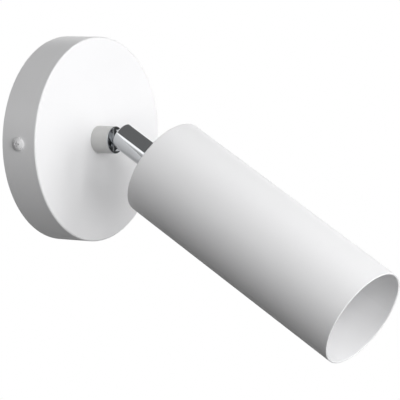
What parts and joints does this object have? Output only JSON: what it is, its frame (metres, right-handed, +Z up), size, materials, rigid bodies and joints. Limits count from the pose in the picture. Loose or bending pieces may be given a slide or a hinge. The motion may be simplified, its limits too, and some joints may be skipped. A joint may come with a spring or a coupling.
{
  "type": "pivoting spotlight wall light",
  "caption": "Wall spotlight: a round rose, a swivel joint with a slotted arm, and a straight tubular shade that pans and tilts round a bi-pin lampholder.",
  "frame": {"origin": "middle of the rose's back, on the wall", "axes": "+Y into the wall, so the light stands out of it towards -Y; +Z up; X along the wall"},
  "size_m": [0.1246, 0.2206, 0.1781],
  "materials": {
    "white_powder_coat": "satin powder coat",
    "polished_chrome": "polished chromium plate",
    "zinc_plate": "bright zinc plate",
    "raw_brass": "turned brass",
    "tinned_copper": "tin plate",
    "natural_nylon": "moulded nylon",
    "silicone_sleeve": "extruded silicone",
    "earth_sleeve": "extruded PVC",
    "steatite": "pressed and fired ceramic",
    "spring_bronze": "rolled bronze strip"
  },
  "bodies": {
    "rose": {"rose_cover": "white_powder_coat", "cover_screws": "polished_chrome", "wall_bracket": "zinc_plate", "terminal_block": "natural_nylon", "terminal_sleeves": "raw_brass", "terminal_screws": "zinc_plate", "block_screw": "zinc_plate", "earth_screw": "raw_brass", "earth_tag": "tinned_copper", "earth_lead": "earth_sleeve", "rose_leads": "silicone_sleeve", "rose_nipple": "zinc_plate", "rose_nut": "zinc_plate", "rose_washer": "zinc_plate", "rose_bush": "natural_nylon", "swivel_collar": "white_powder_coat", "pan_grub_screw": "zinc_plate"},
    "swivel": {"swivel_tongue": "polished_chrome", "joint_leads": "silicone_sleeve"},
    "head": {"swivel_fork": "polished_chrome", "tilt_screw": "polished_chrome", "friction_washers": "natural_nylon", "head_nipple": "zinc_plate", "head_nut": "zinc_plate", "head_washer": "zinc_plate", "head_bush": "natural_nylon", "shade_tube": "white_powder_coat", "shade_back": "white_powder_coat", "holder_bracket": "zinc_plate", "lampholder": "steatite", "lampholder_contacts": "spring_bronze", "holder_screws": "zinc_plate", "holder_leads": "silicone_sleeve"}
  },
  "joints": [
    {"name": "pan", "type": "hinge", "parent": "rose", "child": "swivel", "pos_m": [0, -0.03, 0], "axis": [0, -1, 0], "range_deg": [-160, 160]},
    {"name": "tilt", "type": "hinge", "parent": "swivel", "child": "head", "pos_m": [0, -0.046, 0], "axis": [1, 0, 0], "range_deg": [-30, 40]}
  ]
}
